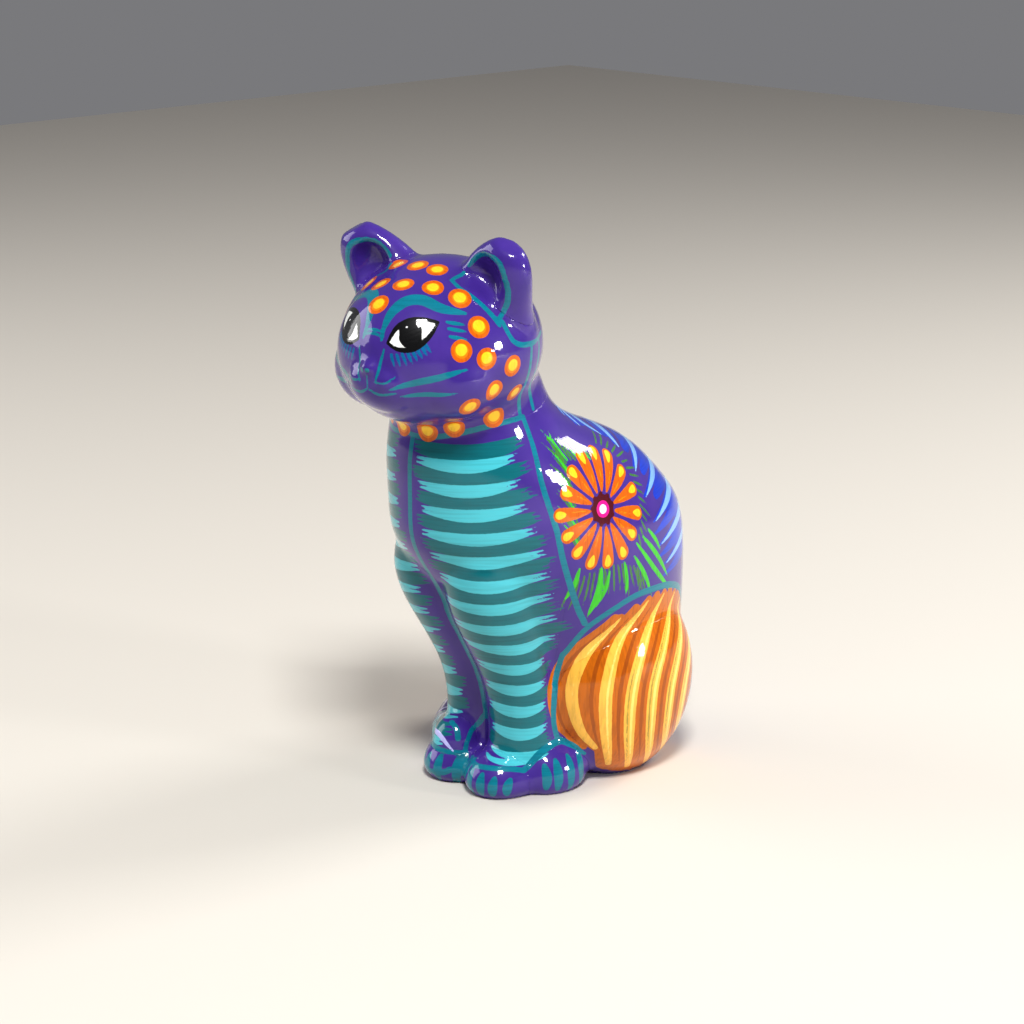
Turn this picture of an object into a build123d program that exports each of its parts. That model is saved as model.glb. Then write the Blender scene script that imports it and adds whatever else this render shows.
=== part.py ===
from build123d import *
import os
from math import cos, radians, sin

# A seated clay cat: press-moulded hollow halves for the body and the head, with the ears,
# thigh pads, paws and tail luted on, and a vented slab that closes the foot.
# Millimetres, +Z up, the cat faces -Y and its left side is +X. The origin lies on the
# surface that the cat stands on, under the vented slab, in front of its vent hole.

# Driving dimensions
wall = 5.0
slab_thickness = 6.0
vent_radius = 6.0
vent_y = 10.0
head_turn = 12.0
head_centre = (0, -51, 147.5)
head_parting_y = 3.0

# Outer rings of the torso: height, middle in Y, half width, half depth
torso_rings = [
    (0, 7, 24, 25),
    (12, 9, 26, 31),
    (30, 8.5, 30, 35.5),
    (50, 3.5, 34, 41.5),
    (70, -4, 36.5, 49.5),
    (87, -11, 36.5, 53),
    (103, -19.5, 33, 46.5),
    (115, -30.5, 28, 36),
    (126, -39, 24, 26),
    (134, -41, 23, 23.5),
    (142, -44, 19, 19),
]

# Rings of one front leg: height, distance from the middle plane, Y, half width, half depth
leg_rings = [
    (0, 10.5, -25, 11.5, 11.5),
    (10, 10, -25.5, 12, 12),
    (28, 9.5, -26, 12, 12),
    (45, 9.5, -32, 12.5, 12.5),
    (70, 11.5, -42, 14, 15),
    (92, 8, -38, 11, 12),
]

haunch_centre = (20.5, 6.5, 30)
haunch_radii = (20, 29, 33)

front_paw_centre = (9.8, -34.3, 4.2)
front_paw_radii = (12.2, 14.4, 9.4)
front_paw_gap = 0.8
hind_paw_centre = (18.5, -22, 5)
hind_paw_radii = (10.5, 13, 10.5)

# Body parting plane, through two points of its trace on the flank
parting_low = (-28, 66)
parting_high = (-39, 128)

# Head, in its own frame: middle at head_centre, turned to the cat's left
skull_radii = (31, 31, 26.5)
face_centre = (0, -11, 0)
face_radii = (25, 25, 23)
muzzle_centre = (0, -22.5, -6)
muzzle_radii = (15, 15, 11.5)
cheek_centre = (13.5, -12, -6)
cheek_radii = (14, 16, 14)
head_hollow_radii = (25, 25, 20)

# One ear: rings from its root to its tip, as centre, half width and half depth
ear_lean = (9, -7, 19)
ear_rings = [
    ((17, 3, 9), 16, 11),
    ((21, -1, 20), 12.5, 8.5),
    ((26, -4, 28), 9.5, 6),
    ((28.5, -5.5, 33), 5, 3.4),
]
ear_scoop_centre = (20.5, -11, 21.5)
ear_scoop_radii = (7.5, 8, 9.5)

# Tail: a rolled coil that runs round the right side and rests on the right front paw
tail_radius = 6.5
tail_tip_radius = 7.5
tail_points = [(-12, 31, 8), (-32, 24, 7), (-42, 4, 6.5), (-33, -17, 7), (-20, -31, 9), (-9, -38.5, 13)]


def mirrored(point, side):
    """The point, on the side asked for: 1 is the cat's left and -1 its right."""
    return (side * point[0], point[1], point[2])


def egg(radii):
    """An ellipsoid with its middle at the origin."""
    with BuildPart() as lump:
        Sphere(1)
        scale(by=radii)
    return lump.part


def stacked_loft(rings):
    """A smooth solid through level elliptic rings: height, X, Y, half width, half depth."""
    with BuildPart() as stack:
        for height, x, y, half_width, half_depth in rings:
            with BuildSketch(Plane.XY.offset(height)):
                with Locations((x, y)):
                    Ellipse(half_width, half_depth)
        loft()
    return stack.part


def above_ground(part):
    """The part, cut level with the surface that the cat stands on."""
    with BuildPart() as cut:
        add(part)
        split(bisect_by=Plane.XY, keep=Keep.TOP)
    return cut.part


def write(part, name):
    """Labels a finished piece and writes it."""
    part.label = name
    export_step(part, f"parts/{name}.step")


head_plane = Plane(
    origin=head_centre,
    x_dir=(cos(radians(head_turn)), sin(radians(head_turn)), 0),
    z_dir=(0, 0, 1),
)

# Outer shapes, before they are cut to each other
torso = stacked_loft([(z, 0, y, w, d) for z, y, w, d in torso_rings])
with BuildPart() as body:
    add(torso)
    for side in (1, -1):
        add(stacked_loft([(z, side * x, y, w, d) for z, x, y, w, d in leg_rings]))

with BuildPart(mode=Mode.PRIVATE) as skull:
    add(egg(skull_radii))
    with Locations(face_centre):
        add(egg(face_radii))
    with Locations(muzzle_centre):
        add(egg(muzzle_radii))
    with Locations(mirrored(cheek_centre, 1), mirrored(cheek_centre, -1)):
        add(egg(cheek_radii))
head_outer = head_plane.location * skull.part

# Hollows
hollow_rings = [(z, 0, y, w - wall, d - wall) for z, y, w, d in torso_rings]
body_hollow = stacked_loft(hollow_rings)
head_hollow = head_plane.location * egg(head_hollow_radii)

# Parting planes: the body's leans with the flank, the head's stands across the ears
(low_y, low_z), (high_y, high_z) = parting_low, parting_high
body_parting = Plane(
    origin=(0, low_y, low_z),
    x_dir=(1, 0, 0),
    z_dir=(0, high_z - low_z, low_y - high_y),
)
head_parting = Plane(
    origin=head_plane.from_local_coords((0, head_parting_y, 0)),
    x_dir=head_plane.x_dir,
    z_dir=head_plane.y_dir,
)


def half_shell(outer, cuts, parting, keep):
    """One half of a hollow moulding, on one side of its parting plane."""
    with BuildPart() as shell:
        add(outer)
        for cut in cuts:
            add(cut, mode=Mode.SUBTRACT)
        split(bisect_by=parting, keep=keep)
    return shell.part


body_front_shell = half_shell(body.part, [body_hollow], body_parting, Keep.BOTTOM)
body_back_shell = half_shell(body.part, [body_hollow], body_parting, Keep.TOP)
head_cuts = [head_hollow, body.part]
head_face_shell = half_shell(head_outer, head_cuts, head_parting, Keep.BOTTOM)
head_back_shell = half_shell(head_outer, head_cuts, head_parting, Keep.TOP)
write(body_front_shell, "body_front_shell")
write(body_back_shell, "body_back_shell")
write(head_face_shell, "head_face_shell")
write(head_back_shell, "head_back_shell")


def ear(side):
    """A cupped ear, cut to the skull that it is luted to."""
    lean = mirrored(ear_lean, side)
    with BuildPart() as cup:
        for centre, half_width, half_depth in ear_rings:
            with BuildSketch(Plane(mirrored(centre, side), x_dir=(lean[2], 0, -lean[0]), z_dir=lean)):
                Ellipse(half_width, half_depth)
        loft()
        with Locations(mirrored(ear_scoop_centre, side)):
            add(egg(ear_scoop_radii), mode=Mode.SUBTRACT)
        add(skull.part, mode=Mode.SUBTRACT)
    return head_plane.location * cup.part


write(ear(1), "ear_left")
write(ear(-1), "ear_right")

# Vented slab in the foot, with the vent hole straight through it
with BuildPart() as base_slab:
    add(body_hollow)
    split(bisect_by=Plane.XY.offset(slab_thickness), keep=Keep.BOTTOM)
    with Locations((0, vent_y, slab_thickness)):
        Hole(vent_radius)
write(base_slab.part, "base_slab")


def pad(centre, radii, side, cuts):
    """A lump of clay pressed on to its neighbours, level with the ground."""
    with BuildPart() as lump:
        with Locations(mirrored(centre, side)):
            add(egg(radii))
        split(bisect_by=Plane.XY, keep=Keep.TOP)
        for cut in cuts:
            add(cut, mode=Mode.SUBTRACT)
    return lump.part


sides = {"left": 1, "right": -1}
haunches = {word: pad(haunch_centre, haunch_radii, side, [body.part]) for word, side in sides.items()}

# Tail: a round coil with a domed tip, cut to the body and the thigh that it lies against
with BuildPart() as tail:
    with BuildLine() as tail_line:
        Spline(*tail_points)
    with BuildSketch(Plane(origin=tail_line.line @ 0, z_dir=tail_line.line % 0)):
        Circle(tail_radius)
    sweep()
    with Locations(tail_points[-1]):
        Sphere(tail_tip_radius)
    split(bisect_by=Plane.XY, keep=Keep.TOP)
    for neighbour in (body.part, haunches["right"]):
        add(neighbour, mode=Mode.SUBTRACT)
write(tail.part, "tail")

# Thigh pads and paws, each cut to the pieces that it is pressed on to
for word, side in sides.items():
    cuts = [body.part, haunches[word], tail.part]
    hind_paw = pad(hind_paw_centre, hind_paw_radii, side, cuts)
    front_paw = pad(front_paw_centre, front_paw_radii, side, [body.part, hind_paw, tail.part])
    gap_side = Plane.YZ.offset(side * front_paw_gap / 2)
    front_paw = split(front_paw, bisect_by=gap_side, keep=Keep.TOP if side == 1 else Keep.BOTTOM)
    write(haunches[word], f"haunch_{word}")
    write(hind_paw, f"hind_paw_{word}")
    write(front_paw, f"front_paw_{word}")
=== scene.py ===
import math

import bpy
import numpy as np
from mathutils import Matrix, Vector
from mathutils.bvhtree import BVHTree


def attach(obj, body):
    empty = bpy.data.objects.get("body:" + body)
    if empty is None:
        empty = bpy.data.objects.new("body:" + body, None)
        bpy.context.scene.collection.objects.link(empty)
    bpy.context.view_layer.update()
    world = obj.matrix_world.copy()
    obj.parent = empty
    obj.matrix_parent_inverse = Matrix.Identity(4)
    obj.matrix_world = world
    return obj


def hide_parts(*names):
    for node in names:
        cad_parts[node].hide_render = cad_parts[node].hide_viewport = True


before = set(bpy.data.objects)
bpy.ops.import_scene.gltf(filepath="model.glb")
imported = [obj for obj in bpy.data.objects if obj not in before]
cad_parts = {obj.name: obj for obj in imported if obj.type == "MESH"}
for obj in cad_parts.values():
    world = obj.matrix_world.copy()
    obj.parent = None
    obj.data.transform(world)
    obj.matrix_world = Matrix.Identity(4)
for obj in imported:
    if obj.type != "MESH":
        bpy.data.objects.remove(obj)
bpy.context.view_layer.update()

# A seated clay cat. Lengths are in millimetres until they reach Blender, which works in metres.
MM = 0.001

# How finely the clay is worked: the first grain blends the lumps, the second is the skin
BLEND_GRAIN = 1.1
SKIN_GRAIN = 0.66
BLEND_PASSES = 22
SKIN_PASSES = 5

# The head's own frame, in which the ears, the face and the dots are laid out
HEAD_CENTRE = np.array((0.0, -51.0, 147.5))
HEAD_TURN = math.radians(12.0)

# Seams between the moulded pieces, as (Y, Z) of two points, seen from the side
NECK_SEAM = ((-66.0, 120.5), (-18.0, 130.0))
FLANK_SEAM = ((-28.0, 66.0), (-39.0, 128.0))
HEAD_SEAM_Y = 3.0


# ---------------------------------------------------------------- workbench


def deselect():
    for thing in bpy.context.selected_objects:
        thing.select_set(False)


def pick(thing):
    """Makes one object the only selected one, and the active one."""
    deselect()
    thing.select_set(True)
    bpy.context.view_layer.objects.active = thing
    return thing


def finish_with(thing, kind, **settings):
    """Adds a modifier with its settings and applies it."""
    pick(thing)
    modifier = thing.modifiers.new(kind.title(), kind)
    for name, value in settings.items():
        setattr(modifier, name, value)
    bpy.ops.object.modifier_apply(modifier=modifier.name)
    return thing


def vertex_places(thing):
    """The places of an object's vertices, in millimetres."""
    places = np.empty(len(thing.data.vertices) * 3)
    thing.data.vertices.foreach_get("co", places)
    return places.reshape(-1, 3) / MM


def move_vertices(thing, places):
    thing.data.vertices.foreach_set("co", (places * MM).ravel())
    thing.data.update()


def on_head(x, y, z):
    """A place in the head's own frame, as a place on the cat."""
    across = np.array((math.cos(HEAD_TURN), math.sin(HEAD_TURN), 0.0))
    along = np.array((-math.sin(HEAD_TURN), math.cos(HEAD_TURN), 0.0))
    return HEAD_CENTRE + x * across + y * along + np.array((0.0, 0.0, z))


def lump(name, middle, size, turn=0.0):
    """An egg of clay."""
    deselect()
    where = [c * MM for c in middle]
    bpy.ops.mesh.primitive_uv_sphere_add(segments=48, ring_count=24, radius=MM, location=where)
    egg = bpy.context.object
    egg.name = name
    egg.scale = size
    egg.rotation_euler = (0.0, 0.0, turn)
    bpy.ops.object.transform_apply(location=True, rotation=True, scale=True)
    return egg


def half_space(name, point, outward):
    """A block whose face passes through a point, and which lies on the side that outward shows."""
    deselect()
    reach = 400.0 * MM
    outward = Vector(outward).normalized()
    middle = Vector(point) * MM + outward * reach / 2
    bpy.ops.mesh.primitive_cube_add(size=reach, location=middle)
    block = bpy.context.object
    block.name = name
    block.rotation_euler = outward.to_track_quat("Z", "Y").to_euler()
    bpy.ops.object.transform_apply(location=True, rotation=True, scale=True)
    return block


def seam_plane(name, seam):
    """A block above or behind a seam that is given by two points seen from the side."""
    (low_y, low_z), (high_y, high_z) = seam
    return half_space(name, (0, low_y, low_z), (0, high_z - low_z, low_y - high_y))


def loose_copy(thing, name):
    """A separate copy with its own mesh and nothing of the frame's notes."""
    twin = thing.copy()
    twin.data = thing.data.copy()
    twin.name = name
    twin.parent = None
    for note in list(twin.keys()):
        del twin[note]
    bpy.context.collection.objects.link(twin)
    return twin


def weld(thing):
    """Merges the loose triangles of a copied node."""
    pick(thing)
    bpy.ops.object.mode_set(mode="EDIT")
    bpy.ops.mesh.select_all(action="SELECT")
    bpy.ops.mesh.remove_doubles(threshold=0.00001)
    bpy.ops.object.mode_set(mode="OBJECT")
    return thing


# ---------------------------------------------------------------- clay

CLAY_NODES = [name for name in sorted(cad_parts) if name != "base_slab"]


def rough_clay():
    """The moulded and pressed-on pieces, stuck together, with a small pad for the nose."""
    lumps = [loose_copy(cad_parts[name], name + "_lump") for name in CLAY_NODES]
    lumps.append(lump("nose_pad", on_head(0, -36.0, -1.2), (3.0, 3.2, 2.2), HEAD_TURN))
    lumps.append(lump("bridge", on_head(0, -30.5, 4.0), (4.0, 5.5, 8.0), HEAD_TURN))
    for side in (1, -1):
        whisker_pad = on_head(side * 4.0, -33.0, -5.0)
        lumps.append(lump("whisker_pad", whisker_pad, (4.8, 4.8, 4.0), HEAD_TURN))
    lumps.append(lump("chin", on_head(0, -31.0, -10.4), (5.2, 4.6, 3.4), HEAD_TURN))
    deselect()
    for twin in lumps:
        twin.select_set(True)
    bpy.context.view_layer.objects.active = lumps[0]
    bpy.ops.object.join()
    clay = bpy.context.object
    clay.name = "clay"
    return weld(clay)


def worked_clay():
    """The stuck-together clay, with its creases rubbed smooth and its foot kept level."""
    clay = rough_clay()
    finish_with(clay, "REMESH", mode="VOXEL", voxel_size=BLEND_GRAIN * MM)
    rubbed = clay.vertex_groups.new(name="rubbed")
    places = vertex_places(clay)
    on_ear = np.clip((places[:, 2] - 168.0) / 8.0, 0.0, 1.0)
    on_face = np.clip((-70.0 - places[:, 1]) / 6.0, 0.0, 1.0) * (places[:, 2] > 128.0)
    for index, firm in enumerate(np.maximum(0.85 * on_ear, 0.75 * on_face)):
        rubbed.add([index], 1.0 - float(firm), "REPLACE")
    finish_with(clay, "SMOOTH", factor=0.5, iterations=BLEND_PASSES, vertex_group="rubbed")
    finish_with(clay, "REMESH", mode="VOXEL", voxel_size=SKIN_GRAIN * MM)
    finish_with(clay, "SMOOTH", factor=0.5, iterations=SKIN_PASSES)
    places = vertex_places(clay)
    places[:, 2] = np.where(places[:, 2] < 0.6, 0.0, places[:, 2])
    move_vertices(clay, places)
    return clay


clay = worked_clay()
skin = BVHTree.FromObject(clay, bpy.context.evaluated_depsgraph_get())


def touch(place):
    """The nearest place on the skin and the way the skin faces there."""
    found, normal, _, _ = skin.find_nearest(Vector(place) * MM)
    return np.array(found) / MM, np.array(normal)


def fitted_cutter(name):
    """A node's own shape, with its outer side pushed out through the skin."""
    cutter = weld(loose_copy(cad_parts[name], name + "_cutter"))
    places = vertex_places(cutter)
    for index, place in enumerate(places):
        found, normal = touch(place)
        depth = float(np.dot(found - place, normal))
        push = 3.0 * min(max(1.0 - depth / 2.6, 0.0), 1.0)
        places[index] = place + normal * push
    move_vertices(cutter, places)
    return cutter


def part_off(block, name, cutter):
    """Takes what the cutter holds out of the block, as a piece of its own."""
    piece = loose_copy(block, name)
    finish_with(piece, "BOOLEAN", operation="INTERSECT", object=cutter, solver="MANIFOLD")
    finish_with(block, "BOOLEAN", operation="DIFFERENCE", object=cutter, solver="MANIFOLD")
    bpy.data.objects.remove(cutter)
    return piece


# The torso's outer rings: height, middle in Y, half width, half depth
TORSO_RINGS = np.array([(0, 7, 24, 25), (30, 8.5, 30, 35.5), (70, -4, 36.5, 49.5), (103, -19.5, 33, 46.5),
                        (126, -39, 24, 26)])


def thin_inside(piece):
    """Leaves fewer faces on the wall of the hollow, which is out of sight."""
    x, y, z = vertex_places(piece).T
    middle, half_width, half_depth = (np.interp(z, TORSO_RINGS[:, 0], ring) for ring in TORSO_RINGS.T[1:])
    within = (x / (half_width - 3.0)) ** 2 + ((y - middle) / (half_depth - 3.0)) ** 2 < 1.0
    inside = piece.vertex_groups.new(name="inside")
    inside.add([int(index) for index in np.nonzero(within)[0]], 1.0, "REPLACE")
    finish_with(piece, "DECIMATE", ratio=0.6, vertex_group="inside")


def clay_pieces():
    """The worked clay, cut into the pieces that it was put together from."""
    block = loose_copy(clay, "block")
    made = {}
    for name in ("ear_left", "ear_right", "tail", "front_paw_left", "front_paw_right",
                 "hind_paw_left", "hind_paw_right", "haunch_left", "haunch_right"):
        made[name] = part_off(block, name + "_skin", fitted_cutter(name))
    (front_y, front_z), (back_y, back_z) = NECK_SEAM
    above_neck = half_space("above_neck", (0, front_y, front_z), (0, front_z - back_z, back_y - front_y))
    head = part_off(block, "head", above_neck)
    behind_ears = half_space("behind_ears", on_head(0, HEAD_SEAM_Y, 0), on_head(0, 1, 0) - HEAD_CENTRE)
    made["head_back_shell"] = part_off(head, "head_back_shell_skin", behind_ears)
    made["head_face_shell"] = head
    head.name = "head_face_shell_skin"
    made["body_back_shell"] = part_off(block, "body_back_shell_skin", seam_plane("behind", FLANK_SEAM))
    thin_inside(made["body_back_shell"])
    made["body_front_shell"] = block
    block.name = "body_front_shell_skin"
    return made


pieces = clay_pieces()

# ---------------------------------------------------------------- brush

PAINTS = {}


def smooth_route(points, step=0.35):
    """A Catmull-Rom curve through the points, as places a short step apart."""
    knots = np.array(points, float)
    if len(knots) == 1:
        return knots
    ends = [2 * knots[0] - knots[1], *knots, 2 * knots[-1] - knots[-2]]
    places = []
    for a, b, c, d in zip(ends, ends[1:], ends[2:], ends[3:]):
        count = max(2, int(np.linalg.norm(c - b) / step))
        for t in np.arange(count) / count:
            places.append(
                0.5 * (2 * b + (c - a) * t + (2 * a - 5 * b + 4 * c - d) * t * t + (3 * b - a - 3 * c + d) * t ** 3)
            )
    places.append(knots[-1])
    return np.array(places)


def swell(count, start, middle, end):
    """The half width of a stroke along its way: where it starts, at its middle and at its end."""
    along = np.linspace(0.0, 1.0, count)
    return start * (1 - along) ** 2 + 2 * (2 * middle - (start + end) / 2) * along * (1 - along) + end * along ** 2


def on_skin(places):
    """The places, moved on to the skin."""
    return np.array([touch(place)[0] for place in places])


def dab(paint, places, widths):
    """Puts paint on the skin: round dabs with their middles and half widths."""
    PAINTS.setdefault(paint, []).append((places, np.maximum(widths, 0.05)))


def flipped(points):
    """The same points on the other side of the body."""
    return [(-x, y, z) for x, y, z in points]


def stroke(paint, points, start, middle, end, both=False):
    """One brush stroke through points on the body; both adds its twin on the other side."""
    places = on_skin(smooth_route(points))
    dab(paint, places, swell(len(places), start, middle, end))
    if both:
        stroke(paint, flipped(points), start, middle, end)


def head_stroke(paint, points, start, middle, end, both=False):
    """One brush stroke through points in the head's own frame."""
    stroke(paint, [on_head(*point) for point in points], start, middle, end)
    if both:
        head_stroke(paint, flipped(points), start, middle, end)


def hand(seed):
    """A small steady wobble between -1 and 1, as a hand makes."""
    return math.sin(seed * 12.9898) * math.cos(seed * 4.1414 + 1.3)


# ---------------------------------------------------------------- painting: chest, legs and paws

# Where strokes and dots lie: many places below, and most of FLANK_LINE and both lists of dots, were printed by
# another program, which cast rays on to the CAD. Others were changed by hand afterwards.

FLANK_LINE = [(23, -39.7, 126), (25.6, -38.1, 118.5), (29.4, -37.5, 106), (32.2, -34.1, 92),
              (33.1, -31.2, 80),
              (31.5, -24.1, 64.5), (30.7, -19.5, 57)]
CENTRE_LINE = [(2.5, -66, 121), (1.5, -66, 106), (0.3, -65, 93), (-0.5, -59, 78), (-0.5, -51, 66),
               (0, -42, 49),
               (0, -33, 28), (0, -42, 11), (0, -45, 4)]
FRONT_LINES_Z = [line[2] for line in FLANK_LINE][::-1]
FRONT_LINES_Y = [line[1] for line in FLANK_LINE][::-1]


def flank_y(z):
    """How far forward the line down the flank is at a height."""
    return float(np.interp(z, FRONT_LINES_Z, FRONT_LINES_Y))


def chest_place(side, part, z):
    """A place on the chest or a leg: part 0 is the middle line and 1 the line down the flank."""
    angle = math.radians(90.0 * part)
    back = flank_y(z) if z > 52 else -24.0
    way = np.array((side * math.sin(angle), -math.cos(angle), 0.0))
    start = np.array((0.0, back, z)) + way * 90.0
    if z <= 52:
        start[0] += side * 9.0 * math.sin(angle) ** 0.5
    found, _, _, _ = skin.ray_cast(Vector(start) * MM, Vector(-way))
    return np.array(found) / MM if found else start - way * 66.0


def chest_stroke(paint, side, z, first, last, half_height):
    """A hanging stroke across one half of the chest, low in the middle and thin at its ends."""
    parts = np.linspace(first, last, 12)
    route = [chest_place(side, part, z - 2.6 * math.sin(math.pi * part) ** 1.3 + 1.6 * part) for part in parts]
    places = on_skin(smooth_route(route))
    dab(paint, places, swell(len(places), 0.3, half_height, 0.1))


RUNG_TOP = 114.5
RUNG_PITCH = 7.75
RUNGS = 14


def paint_chest():
    for side in (1, -1):
        for rung in range(-1, RUNGS):
            z = RUNG_TOP - RUNG_PITCH * rung
            seed = rung + 20.0 * side
            for row in (-1.4, 0.0, 1.4):
                low = z - RUNG_PITCH / 2 + row
                if low < 14.0:
                    continue
                first = 0.08 + 0.02 * hand(seed + row)
                last = 0.94 + 0.045 * hand(seed * 3 + row)
                chest_stroke("dark_teal", side, low, first, last, 1.5)
            if rung < 0 or z < 13:
                continue
            for row in (-0.75, 0.75):
                first = 0.12 + 0.02 * hand(seed * 5 + row)
                last = 0.87 + 0.045 * hand(seed * 7 + row)
                chest_stroke("cyan", side, z + row, first, last, 1.3)
    stroke("teal", CENTRE_LINE, 0.8, 1.0, 0.8)
    stroke("teal", FLANK_LINE, 0.8, 1.0, 1.0, both=True)


def paint_paws():
    arc = [(20.5, -36, 9), (21.2, -30, 13), (20.5, -23, 15), (24, -18.5, 14), (27, -15.5, 11)]
    stroke("teal", arc, 0.9, 1.2, 0.6, both=True)
    ankle = [(1.0, -41, 10), (8, -46, 10.5), (15.5, -44, 11), (20.5, -36, 9)]
    stroke("teal", ankle, 0.7, 0.95, 0.9, both=True)
    leg_edge = [(24, -22.4, 46), (20.6, -23.3, 33), (20.8, -24, 23), (21.4, -22.5, 16)]
    stroke("teal", leg_edge, 0.9, 1.0, 0.9, both=True)
    for step in range(5):
        x = 3.5 + 4.3 * step
        y = -47.5 + 0.028 * (x - 12.5) ** 2 * 2.2
        toe = [(x, y + 1.5, 8.2 - 0.2 * step), (x + 0.3, y, 4.5), (x + 0.4, y, 1.4)]
        stroke("teal", toe, 0.7, 1.6, 0.9, both=True)
    for step in range(4):
        y = -31.5 + 4.4 * step
        toe = [(24.5, y + 0.5, 10.5), (26.5, y, 6.5), (26.0, y, 2.6)]
        stroke("teal", toe, 0.7, 1.6, 0.9, both=True)


# ---------------------------------------------------------------- painting: flower and grass

FLOWER_MIDDLE = np.array((34.0, -16.0, 94.5))
FLOWER_REACH = (17.0, 18.5)
PETALS = 15


def flank_place(side, y, z):
    """The place on a flank at this depth and height."""
    found, _, _, _ = skin.ray_cast(Vector((side * 90.0, y, z)) * MM, Vector((-side, 0, 0)))
    return np.array(found) / MM if found else np.array((side * 20.0, y, z))


def flower_place(side, angle, reach):
    y = FLOWER_MIDDLE[1] + FLOWER_REACH[0] * reach * math.sin(angle)
    z = FLOWER_MIDDLE[2] + FLOWER_REACH[1] * reach * math.cos(angle)
    return flank_place(side, y, z)


def flower_stroke(paint, side, angle, inner, outer, start, middle, end):
    places = on_skin(smooth_route([flower_place(side, angle, r) for r in np.linspace(inner, outer, 5)]))
    dab(paint, places, swell(len(places), start, middle, end))


def paint_flower(side):
    for petal in range(PETALS):
        angle = 2 * math.pi * (petal + 0.35) / PETALS
        reach = 0.92 + 0.05 * hand(petal)
        flower_stroke("orange", side, angle, 0.30, reach, 0.4, 1.75, 2.35)
        flower_stroke("yellow", side, angle, reach - 0.13, reach + 0.02, 0.2, 0.95, 1.3)
        flower_stroke("deep_orange", side, angle + 0.035, 0.36, reach - 0.2, 0.1, 0.3, 0.1)
    dab("maroon", np.array([flower_place(side, 0, 0)]), np.array([4.6]))
    for seed in range(9):
        angle = 2 * math.pi * seed / 9
        dab("maroon", np.array([flower_place(side, angle, 0.25)]), np.array([0.9]))
    dab("pink", np.array([flower_place(side, 0, 0)]), np.array([2.7]))
    dab("white", np.array([flower_place(side, 0, 0)]), np.array([1.5]))


def blade(paint, side, start, end, half_width, bow=0.0):
    """One blade of grass on a flank, from its root to its thin tip, in (Y, Z)."""
    (y0, z0), (y1, z1) = start, end
    middle = ((y0 + y1) / 2 + bow, (z0 + z1) / 2)
    places = on_skin(smooth_route([flank_place(side, *spot) for spot in (start, middle, end)]))
    dab(paint, places, swell(len(places), 0.35, half_width, 0.1))


def paint_grass(side):
    for count in range(17):
        y = -27.0 + 1.8 * count
        root = 76.0 - 0.022 * (y + 14) ** 2
        length = 10.5 + 2.5 * hand(count)
        blade("olive", side, (y, root), (y + 0.22 * (y + 20), root - length), 0.42, 0.5 * hand(count + 5))
    for count in range(16):
        angle = math.radians(20 + 7.0 * count)
        start = (FLOWER_MIDDLE[1] + 18 * math.sin(angle), FLOWER_MIDDLE[2] + 19.5 * math.cos(angle))
        reach = 5.5 + 1.5 * hand(count)
        blade("olive", side, start, (start[0] + reach * math.sin(angle + 0.7),
                                     start[1] + reach * math.cos(angle + 0.7)), 0.4)
    for count in range(17):
        z = 119.0 - 1.9 * count
        y = -32.5 + 0.1 * count
        tip = (y - 1.2 + 1.5 * hand(count), z + 2.5)
        blade("olive" if count % 3 else "green", side, (y + 5.0, z - 6.5), tip, 0.4, 0.6)
    for count in range(9):
        y = -32.0 + 1.7 * count
        blade("green" if count % 3 == 1 else "olive", side, (y + 3.5, 111.5 - 0.25 * count),
              (y, 121.0 - 0.9 * count), 0.42, -0.5)
    for root, tip, width, bow in (
        ((-17.3, 76), (-19.5, 59), 1.3, 1.0), ((-14, 74), (-17.5, 62), 0.8, 0.8),
        ((0.8, 82.5), (16, 65), 0.85, 0.8),
        ((-2.5, 81), (20.5, 57.5), 0.85, -0.8), ((-3.5, 77), (6.5, 61), 0.8, 0.9),
        ((-25.5, 77), (-28.5, 66), 0.9, 0.6),
        ((-8, 76), (-6, 63.5), 0.7, 0.6), ((4, 84), (11, 75), 0.7, 0.6),
    ):
        blade("green", side, root, tip, width, bow)


# ---------------------------------------------------------------- painting: back and thighs


def back_place(side, part, z):
    """A place on the back: part 0 is the spine and 1 is where the flank begins."""
    angle = math.radians(78.0 * part)
    middle = float(np.interp(z, (50, 70, 87, 103, 120), (2, -6, -13, -22, -34)))
    way = np.array((side * math.sin(angle), math.cos(angle), 0.0))
    start = np.array((0.0, middle, z)) + way * 90.0
    found, _, _, _ = skin.ray_cast(Vector(start) * MM, Vector(-way))
    return np.array(found) / MM if found else start - way * 45.0


RUMP_FLOWER = np.array((0.0, 56.0, 44.0))
RUMP_PETALS = 11
RIB_ENDS = [(17, -16, 120.5), (19.4, -11, 116.7), (20.5, -3, 112), (23.9, 1, 107), (27.7, 4, 100.5),
            (31, 6, 93),
            (33.2, 8.5, 85), (34, 10.5, 77), (33, 14, 70)]


def back_stroke(paint, side, tip, drop, start, middle, end):
    """A stroke from the spine, round the back, to a thin tip on the flank."""
    tip = np.array((side * tip[0], tip[1], tip[2] - drop))
    spine = back_place(side, 0.04, tip[2] + 8.0)
    over = back_place(side, 0.38, tip[2] + 5.8)
    places = on_skin(smooth_route([spine, over, tip]))
    dab(paint, places, swell(len(places), start, middle, end))


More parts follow.
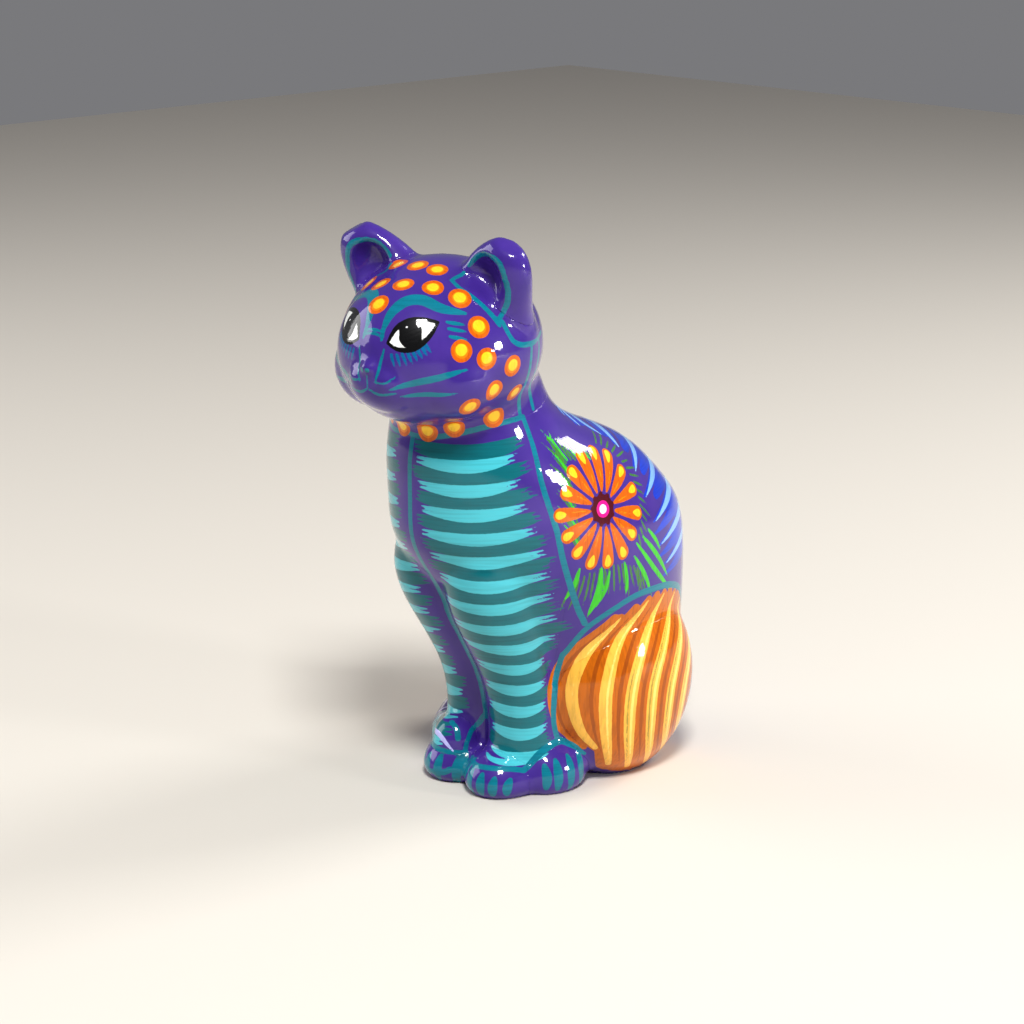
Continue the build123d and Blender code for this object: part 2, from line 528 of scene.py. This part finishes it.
def paint_back():
    for side in (1, -1):
        for x, y, z in RIB_ENDS:
            back_stroke("blue", side, (x, y - 1.5, z), 3.8, 2.6, 2.9, 0.3)
            back_stroke("blue", side, (x, y - 2.0, z), 0.2, 2.4, 2.6, 0.2)
            back_stroke("sky", side, (x, y, z), 0.0, 1.5, 1.6, 0.2)
    for petal in range(RUMP_PETALS):
        angle = 2 * math.pi * petal / RUMP_PETALS
        turn = np.array((math.sin(angle), 0.0, math.cos(angle)))
        stroke("lavender", [RUMP_FLOWER + 4.0 * turn, RUMP_FLOWER + 12.5 * turn], 0.5, 1.7, 2.3)
        stroke("white", [RUMP_FLOWER + 9.5 * turn, RUMP_FLOWER + 13.0 * turn], 0.3, 0.8, 1.2)
    dab("maroon", on_skin([RUMP_FLOWER]), np.array([3.2]))
    dab("yellow", on_skin([RUMP_FLOWER]), np.array([1.5]))
    for side in (1, -1):
        for count in range(5):
            root = RUMP_FLOWER + np.array((side * (3.0 + 2.2 * count), 0.0, -15.0 + 1.2 * count))
            stroke("green" if count % 2 else "olive", [root, root + np.array((side * 3.0, 0.0, -9.0))],
                   0.5, 0.7, 0.2)


THIGH_EDGE = [(24, -22.6, 45), (30, -18, 55.5), (34, -8, 61.5), (34.8, 2, 63.5), (33, 17, 62),
              (30, 30, 56), (28, 38, 44),
              (27, 40, 32), (26, 40, 20)]
THIGH_STRIPES = [
    ((-7, 56.5), (-16.5, 46), (-20.8, 34), (-19, 21), (-14, 13.5)),
    ((5, 60), (-7, 49), (-13.2, 35), (-13, 21), (-7.5, 6)),
    ((14, 60), (2, 48), (-5.2, 34), (-5.5, 19), (0, 3.5)),
    ((22, 58), (10.5, 46), (3, 33), (2.8, 18), (8, 3)),
    ((28, 54), (18.5, 43), (11.5, 31), (11, 17), (15.5, 4)),
    ((32, 49), (26, 39), (20, 29), (19, 17), (22.5, 5)),
]


def thigh_place(side, y, z):
    """A place on a thigh; on the right side the tail hides the foot of the thigh."""
    return flank_place(side, y, z if side == 1 else max(z, 17.0 + 0.2 * y))


def paint_thigh(side):
    foot = 4.2 if side == 1 else 1.2
    for spots in THIGH_STRIPES:
        route = [thigh_place(side, *spot) for spot in spots]
        places = on_skin(smooth_route(route))
        dab("rust", places, swell(len(places), 1.6, 3.8, min(foot, 1.5) if spots[0][0] < 0 else foot))
        dab("sun", places, swell(len(places), 0.3, 2.15, 1.0))
        dab("ochre", places + np.array((0.0, -0.9, 0.5)), swell(len(places), 0.1, 0.45, 0.1))
        dab("pale_yellow", places + np.array((0.0, 0.6, -0.3)), swell(len(places), 0.1, 0.55, 0.1))
    for count in range(len(THIGH_STRIPES) + 1):
        before = THIGH_STRIPES[max(count - 1, 0)]
        after = THIGH_STRIPES[min(count, len(THIGH_STRIPES) - 1)]
        shift = {0: -2.4, len(THIGH_STRIPES): 4.0}.get(count, 0.0)
        spots = [((a[0] + b[0]) / 2 + shift, (a[1] + b[1]) / 2) for a, b in zip(before, after)]
        places = on_skin(smooth_route([thigh_place(side, *spot) for spot in spots]))
        dab("rust", places, swell(len(places), 2.0, 3.4, min(foot, 1.0) if count < 2 else foot))
        dab("deep_rust", places, swell(len(places), 0.1, 0.7, 0.1))
    edge = THIGH_EDGE if side == 1 else flipped(THIGH_EDGE)
    stroke("teal", edge, 1.0, 1.1, 0.8)


# ---------------------------------------------------------------- painting: head

FOREHEAD_DOTS = [(-9.8, -8.5, 24), (-1.3, -10.2, 25), (6, -10.3, 24.5), (-8, -20, 20.3), (1, -20.6, 21.1),
                 (9.5, -17.4, 20.3), (17.4, -14.8, 17.8), (-16.5, -14.5, 18.5), (-2.2, -28.7, 16.1)]
CHEEK_DOTS = [(24.4, -15, 10), (22.2, -21.1, 3.6), (27.1, -14.9, 0.7), (30.2, -5.8, -2.8),
              (26.7, -11.2, -9.5),
              (27.3, -0.6, -12.4), (23.2, -18.2, -13.7), (20.7, -3.2, -19.6), (12.5, -11.4, -22.2),
              (4.8, -14.2, -24.2)]


def dot(spot):
    place = touch(on_head(*spot))[0]
    size = 3.35 + 0.2 * hand(spot[0] + spot[2])
    dab("orange", np.array([place]), np.array([size]))
    dab("deep_orange", np.array([place]), np.array([size * 0.66]))
    dab("yellow", np.array([place + np.array((0.0, 0.0, 0.3))]), np.array([size * 0.54]))


def paint_dots():
    for spot in FOREHEAD_DOTS:
        dot(spot)
    for x, y, z in CHEEK_DOTS:
        dot((x, y, z))
        dot((-x, y, z))


UPPER_LID = [(5.3, -34, 6.2), (7.2, -32, 10.6), (10.2, -30, 12.9), (13.4, -27, 12.9), (15.9, -24.0, 11.6)]
LOWER_LID = [(5.3, -34, 6.2), (8.6, -33, 4.7), (12.0, -30.5, 4.9), (14.2, -27, 7.4), (15.9, -24.0, 11.6)]


def paint_eye():
    for turn in (1, -1):
        for share in np.linspace(0.0, 1.0, 7):
            lid = [
                (turn * (u[0] * share + l[0] * (1 - share)), u[1] * share + l[1] * (1 - share),
                 u[2] * share + l[2] * (1 - share))
                for u, l in zip(UPPER_LID, LOWER_LID)
            ]
            head_stroke("lash_black", lid, 0.45, 1.1, 0.45)
            if 0.1 < share < 0.9:
                head_stroke("eye_white", lid, 0.2, 0.9, 0.25)
        iris = on_skin([on_head(turn * 10.9, -30.5, z) for z in np.linspace(8.0, 9.9, 5)])
        dab("iris_black", iris, np.full(len(iris), 3.35))
        rim = [(turn * x, y, z) for x, y, z in UPPER_LID]
        head_stroke("iris_black", rim, 0.35, 0.65, 0.45)
        head_stroke("iris_black", [(turn * x, y, z) for x, y, z in LOWER_LID], 0.35, 0.5, 0.3)
        glint = on_skin([on_head(turn * 11.0 - 1.4, -30.5, 10.8)])
        dab("glint", glint, np.array([0.35]))


def paint_face():
    brow = [(3.1, -33, 10.8), (3.8, -30, 14.6), (6.0, -26, 17.2), (9.5, -23, 17.3), (14.8, -21, 15.2),
            (20, -16, 13.3)]
    head_stroke("teal", brow, 0.8, 2.1, 0.5, both=True)
    head_stroke("teal", [(3.1, -33, 10.8), (3.4, -35, 7)], 0.7, 0.6, 0.4, both=True)
    head_stroke("teal", [(4.6, -35, 4.6), (3.6, -36, -0.5), (3.0, -37, -5.5)], 0.3, 0.5, 0.3, both=True)
    for lift in (0.0, 1.5):
        head_stroke("teal", [(-3.6, -34, 7.8 + lift), (0, -34.5, 8.6 + lift), (3.6, -34, 7.8 + lift)],
                    0.3, 0.45, 0.3)
    for x in (-2.6, 1.0):
        head_stroke("teal", [(x, -40, -2.0)], 0.8, 0.8, 0.8)
    head_stroke("teal", [(0, -38, -3), (0, -38, -7.5)], 0.3, 0.35, 0.3)
    head_stroke("teal", [(0, -38, -7.5), (3.5, -37, -9.2), (8, -34, -8.2)], 0.3, 0.5, 0.3, both=True)
    for lash in range(8):
        share = lash / 7
        x, top = 6.4 + 11.6 * share, 2.9 + 5.2 * share ** 1.7
        head_stroke("lash_teal", [(x, -33, top), (x + 0.6 + 1.4 * share, -32, top - 3.4)], 0.45, 0.5, 0.2,
                    both=True)
    for z in (7.0, 9.4, 11.6):
        head_stroke("teal", [(17.6, -22, z), (21.5, -18, z - 0.9)], 0.45, 0.6, 0.2, both=True)
    head_stroke("teal", [(6.4, -35, -7.0), (15, -30, -4.6), (23.5, -20, -2.0)], 0.3, 1.15, 0.25, both=True)
    head_stroke("teal", [(8.8, -33, -9.3), (15, -30, -9.6), (21, -22, -8.2)], 0.3, 0.85, 0.2, both=True)
    head_stroke("teal", [(2.4, -38, -5), (5.5, -36, -5.2), (8.5, -35, -3.4)], 0.3, 0.4, 0.25, both=True)
    jaw = [(-1, -65.6, 121.6), (7.2, -64.4, 121), (15.6, -58.9, 122.8), (20.8, -51, 124.8), (23, -39.7, 126)]
    stroke("teal", jaw, 0.7, 0.9, 0.8, both=True)


def paint_ears():
    outer = [(12.5, -12, 22.5), (14, -10, 25.5), (18, -9, 28), (23.5, -10, 29.5), (27.8, -11, 28),
             (29.5, -10, 23),
             (30.2, -9, 17), (28.5, -9, 11)]
    head_stroke("teal", outer, 0.6, 0.95, 0.8, both=True)
    inner = [(12.5, -12, 22.5), (15.5, -12, 19.3), (20.5, -11, 16.5), (24.5, -10, 13.4), (28, -9, 10)]
    head_stroke("teal", inner, 0.6, 0.8, 0.7, both=True)
    head_stroke("teal", [(28.5, -8, 11), (30.5, -5, 4.5), (31, 2, 2.6), (27.5, 13, 4)], 0.7, 0.85, 0.6,
                both=True)
    for y in (3.0, 9.0):
        head_stroke("teal", [(30.8 - 0.012 * y * y, y, 2.2), (29, y + 0.5, -9), (25, y + 2.0, -20)], 0.6,
                    0.9, 0.7, both=True)


def paint_tail():
    tip = np.array((-9.0, -38.5, 13.0))
    ring = [tip + 12 * np.array((math.cos(a), 0.35 * math.sin(a) - 0.8,
                                 0.9 * math.sin(a))) for a in np.linspace(-2.4, 1.4, 9)]
    stroke("teal", ring, 0.8, 1.0, 0.8)
    stroke("lavender", [tip + (-7, -6, 3.0), tip + (0, -7, 2.0), tip + (5, -5.5, -2.5)], 0.5, 0.9, 0.2)
    stroke("lavender", [(-26, -36, 6), (-22, -41, 6), (-17, -45, 6)], 0.6, 2.2, 0.5)
    for count in range(9):
        angle = math.radians(-64 + 20 * count)
        spot = np.array((-17 - 25 * math.cos(angle), 6 + 29 * math.sin(angle), 14.0))
        outward = np.array((-math.cos(angle), math.sin(angle), 0.0))
        stroke("lavender", [spot - 2 * outward, spot + 5 * outward - (0, 0, 3),
                            spot + 6 * outward - (0, 0, 9)], 0.3, 0.9, 0.3)


paint_chest()
paint_paws()
for side in (1, -1):
    paint_flower(side)
    paint_grass(side)
    paint_thigh(side)
paint_back()
paint_dots()
paint_eye()
paint_face()
paint_ears()
paint_tail()

# The paints in the order that they went on, with their colours
ORDER = {
    "dark_teal": ("#006C76", 0, 0.3, 0.78),
    "cyan": ("#4EBFCC", 0, 0.6, 0.78),
    "blue": ("#0A3CC4", 0, 0.3, 0.75),
    "sky": ("#86B8F4", 0, 0.6, 0.8),
    "olive": ("#44803A", 1, 0.3, 0.7),
    "green": ("#3CC428", 1, 0.5, 0.7),
    "rust": ("#C86A00", 1, 0.3, 0.7),
    "deep_rust": ("#A65200", 1, 0.2, 0.8),
    "sun": ("#FCC050", 1, 0.6, 0.72),
    "teal": ("#007C90", 0, 0.5, 0.8),
    "lash_teal": ("#006C9C", 0, 0.4, 0.8),
    "lavender": ("#C0C0F8", 1, 0.5, 0.8),
    "orange": ("#D86600", 1, 1.0, 0.7),
    "deep_orange": ("#EC8600", 1, 0.6, 0.8),
    "yellow": ("#FFCC24", 1, 0.9, 0.8),
    "ochre": ("#B5983C", 1, 0.1, 0.8),
    "pale_yellow": ("#FFDC78", 1, 0.1, 0.9),
    "maroon": ("#560018", 1, 0.4, 0.7),
    "pink": ("#F01490", 1, 0.5, 0.8),
    "white": ("#F4F4FF", 1, 0.5, 0.9),
    "lash_black": ("#08060C", 0, 0.3, 0.8),
    "eye_white": ("#F6F8F4", 0, 0.3, 0.94),
    "iris_black": ("#060608", 0, 0.4, 0.8),
    "glint": ("#FFFFFF", 0, 0.1, 0.95),
}
FAR = 3.0


def paint_depths(places):
    """For each paint, how far each place is outside its nearest dab, in millimetres."""
    depths = {}
    for paint, strokes in PAINTS.items():
        depth = np.full(len(places), FAR)
        for middles, widths in strokes:
            margin = widths.max() + FAR
            low, high = middles.min(0) - margin, middles.max(0) + margin
            near = np.nonzero(((places > low) & (places < high)).all(1))[0]
            for chunk in np.array_split(near, max(1, len(near) * len(middles) // 4000000 + 1)):
                if len(chunk) == 0:
                    continue
                gaps = np.linalg.norm(places[chunk, None, :] - middles[None], axis=2) - widths[None]
                depth[chunk] = np.minimum(depth[chunk], gaps.min(1))
        depths[paint] = depth
    return depths


def coat_with_paint(piece):
    """Stores the depth of every paint on the piece's vertices."""
    depths = paint_depths(vertex_places(piece))
    for paint, depth in depths.items():
        layer = piece.data.attributes.new(paint, "FLOAT", "POINT")
        layer.data.foreach_set("value", depth.astype(np.float32))


# ---------------------------------------------------------------- materials


def srgb(text):
    """An sRGB hex colour as the linear colour that the shader takes."""
    channels = [int(text[i:i + 2], 16) / 255 for i in (1, 3, 5)]
    return [c / 12.92 if c <= 0.04045 else ((c + 0.055) / 1.055) ** 2.4 for c in channels] + [1.0]


def add_node(tree, kind, settings=None, **links):
    """Adds a node, sets its properties, and fills its sockets with values or links."""
    node = tree.nodes.new(kind)
    for name, value in (settings or {}).items():
        setattr(node, name, value)
    for name, value in links.items():
        socket = node.inputs[int(name[1:])] if name[0] == "i" and name[1:].isdigit() else node.inputs[name.replace("_", " ")]
        if isinstance(value, bpy.types.NodeSocket):
            tree.links.new(value, socket)
        else:
            socket.default_value = value
    return node


def painted_clay():
    """Acrylic paint on fired clay under thick gloss varnish: brush marks in clear colour, and
    a wet, hard-edged shine that follows the paint's slight relief."""
    material = bpy.data.materials.new("varnished acrylic on clay")
    material.use_nodes = True
    tree = material.node_tree
    tree.nodes.clear()
    place = add_node(tree, "ShaderNodeTexCoord").outputs["Object"]
    mottle = add_node(tree, "ShaderNodeTexNoise", Vector=place, Scale=90.0, Detail=4.0).outputs["Fac"]
    wobble = add_node(tree, "ShaderNodeTexNoise", Vector=place, Scale=700.0, Detail=2.0).outputs["Fac"]
    level = add_node(tree, "ShaderNodeMapping", Vector=place, Scale=(60.0, 60.0, 1500.0)).outputs["Vector"]
    upright = add_node(tree, "ShaderNodeMapping", Vector=place,
                       Scale=(700.0, 1300.0, 130.0)).outputs["Vector"]
    bristles = [
        add_node(tree, "ShaderNodeTexNoise", Vector=way, Scale=1.0,
                 Detail=3.0).outputs["Fac"] for way in (level, upright)
    ]
    shift = add_node(tree, "ShaderNodeMath", {"operation": "MULTIPLY_ADD"}, i0=wobble, i1=0.24,
                     i2=-0.12).outputs[0]
    ground = add_node(tree, "ShaderNodeMix", {"data_type": "RGBA"}, i0=mottle, i6=srgb("#382482"),
                      i7=srgb("#523694"))
    colour = ground.outputs[2]
    relief = None
    for paint, (tone, lay, thick, shade) in ORDER.items():
        if paint not in PAINTS:
            continue
        depth = add_node(tree, "ShaderNodeAttribute", {"attribute_name": paint}).outputs["Fac"]
        edge = add_node(tree, "ShaderNodeMath", {"operation": "ADD"}, i0=depth, i1=shift).outputs[0]
        inside = add_node(
            tree, "ShaderNodeMapRange", {"interpolation_type": "SMOOTHSTEP"},
            Value=edge, From_Min=0.10, From_Max=-0.10, To_Min=0.0, To_Max=1.0,
        ).outputs[0]
        deep = [c * shade for c in srgb(tone)[:3]] + [1.0]
        tint = add_node(tree, "ShaderNodeMapRange", Value=bristles[lay], From_Min=0.25, From_Max=0.55,
                        To_Min=0.0, To_Max=1.0).outputs[0]
        laid = add_node(tree, "ShaderNodeMix", {"data_type": "RGBA"}, i0=tint, i6=deep,
                        i7=srgb(tone)).outputs[2]
        colour = add_node(tree, "ShaderNodeMix", {"data_type": "RGBA"}, i0=inside, i6=colour,
                          i7=laid).outputs[2]
        ridge = add_node(
            tree, "ShaderNodeMapRange", {"interpolation_type": "SMOOTHSTEP"},
            Value=depth, From_Min=0.15, From_Max=-0.9, To_Min=0.0, To_Max=1.0,
        ).outputs[0]
        relief = add_node(
            tree, "ShaderNodeMath", {"operation": "MULTIPLY_ADD"}, i0=ridge, i1=thick,
            i2=relief if relief else 0.0
        ).outputs[0]
    relief = add_node(tree, "ShaderNodeMath", {"operation": "MULTIPLY_ADD"}, i0=bristles[0], i1=0.25,
                      i2=relief).outputs[0]
    bumped = add_node(tree, "ShaderNodeBump", Strength=0.5, Distance=0.00015, Height=relief).outputs["Normal"]
    flow = add_node(tree, "ShaderNodeTexNoise", Vector=place, Scale=120.0, Detail=2.0).outputs["Fac"]
    varnish = add_node(tree, "ShaderNodeMath", {"operation": "MULTIPLY_ADD"}, i0=flow, i1=1.2,
                       i2=relief).outputs[0]
    glassy = add_node(tree, "ShaderNodeBump", Strength=0.25, Distance=0.00015,
                      Height=varnish).outputs["Normal"]
    shader = add_node(
        tree, "ShaderNodeBsdfPrincipled", Base_Color=colour, Roughness=0.4, IOR=1.5,
        Specular_IOR_Level=0.1, Normal=bumped,
        Coat_Weight=1.0, Coat_Roughness=0.03, Coat_IOR=1.5, Coat_Normal=glassy,
    )
    add_node(tree, "ShaderNodeOutputMaterial", Surface=shader.outputs[0])
    return material


def bare_clay():
    """Terracotta: low-fired red clay, matt and open, with fine grog and a little kiln soot."""
    material = bpy.data.materials.new("terracotta")
    material.use_nodes = True
    tree = material.node_tree
    tree.nodes.clear()
    place = add_node(tree, "ShaderNodeTexCoord").outputs["Object"]
    soot = add_node(tree, "ShaderNodeTexNoise", Vector=place, Scale=60.0, Detail=5.0).outputs["Fac"]
    grog = add_node(tree, "ShaderNodeTexNoise", Vector=place, Scale=1500.0, Detail=3.0).outputs["Fac"]
    colour = add_node(tree, "ShaderNodeMix", {"data_type": "RGBA"}, i0=soot, i6=srgb("#8E4A32"),
                      i7=srgb("#B9714F")).outputs[2]
    bump = add_node(tree, "ShaderNodeBump", Strength=0.5, Distance=0.0001, Height=grog).outputs["Normal"]
    shader = add_node(tree, "ShaderNodeBsdfPrincipled", Base_Color=colour, Roughness=0.85, Normal=bump)
    add_node(tree, "ShaderNodeOutputMaterial", Surface=shader.outputs[0])
    return material


painted = painted_clay()
for name, piece in pieces.items():
    coat_with_paint(piece)
    piece.data.materials.clear()
    piece.data.materials.append(painted)
    pick(piece)
    bpy.ops.object.shade_smooth_by_angle(angle=math.radians(50))
    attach(piece, "root")
    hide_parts(*(CLAY_NODES if name == "all" else [name]))
bpy.data.objects.remove(clay)
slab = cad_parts["base_slab"]
slab.data.materials.clear()
slab.data.materials.append(bare_clay())


# ---------------------------------------------------------------- studio


def studio():
    deselect()
    bpy.ops.mesh.primitive_plane_add(size=3.0, location=(0.0, 0.0, -0.0002))
    floor = bpy.context.object
    floor.name = "floor"
    paper = bpy.data.materials.new("studio paper")
    paper.use_nodes = True
    paper.node_tree.nodes["Principled BSDF"].inputs["Base Color"].default_value = srgb("#D9D3C9")
    paper.node_tree.nodes["Principled BSDF"].inputs["Roughness"].default_value = 0.8
    floor.data.materials.append(paper)
    world = bpy.data.worlds.new("studio")
    world.use_nodes = True
    world.node_tree.nodes["Background"].inputs[0].default_value = srgb("#E6E6EA")
    world.node_tree.nodes["Background"].inputs[1].default_value = 0.24
    bpy.context.scene.world = world
    bpy.context.scene.view_settings.view_transform = "Standard"
    bpy.context.scene.view_settings.look = "Medium High Contrast"
    lamps = {
        "window": ((0.52, -0.44, 1.10), 0.26, 12.0),
        "fill": ((-0.95, -0.6, 0.5), 0.7, 4.5),
        "side": ((1.05, 0.42, 0.24), 0.15, 4.5),
        "back": ((0.3, 0.9, 0.8), 0.4, 6.0),
    }
    for name, (where, size, power) in lamps.items():
        light = bpy.data.lights.new(name, "AREA")
        light.size = size
        light.energy = power
        lamp = bpy.data.objects.new(name, light)
        lamp.location = where
        lamp.rotation_euler = (Vector((0, 0, 0.09)) - Vector(where)).to_track_quat("-Z", "Y").to_euler()
        bpy.context.collection.objects.link(lamp)


def camera():
    turn, height, reach = math.radians(46.0), math.radians(16.0), 0.8
    aim = Vector((0.0, -0.015, 0.090))
    back = Vector((math.sin(turn) * math.cos(height), -math.cos(turn) * math.cos(height), math.sin(height)))
    lens = bpy.data.cameras.new("camera")
    lens.lens = 87.75
    lens.sensor_width = 36.0
    lens.clip_start = 0.01
    lens.shift_x = -15.0 / 1024
    lens.shift_y = -12.0 / 1024
    eye = bpy.data.objects.new("camera", lens)
    eye.location = aim + back * reach
    eye.rotation_euler = back.to_track_quat("Z", "Y").to_euler()
    bpy.context.collection.objects.link(eye)
    bpy.context.scene.camera = eye


studio()
camera()
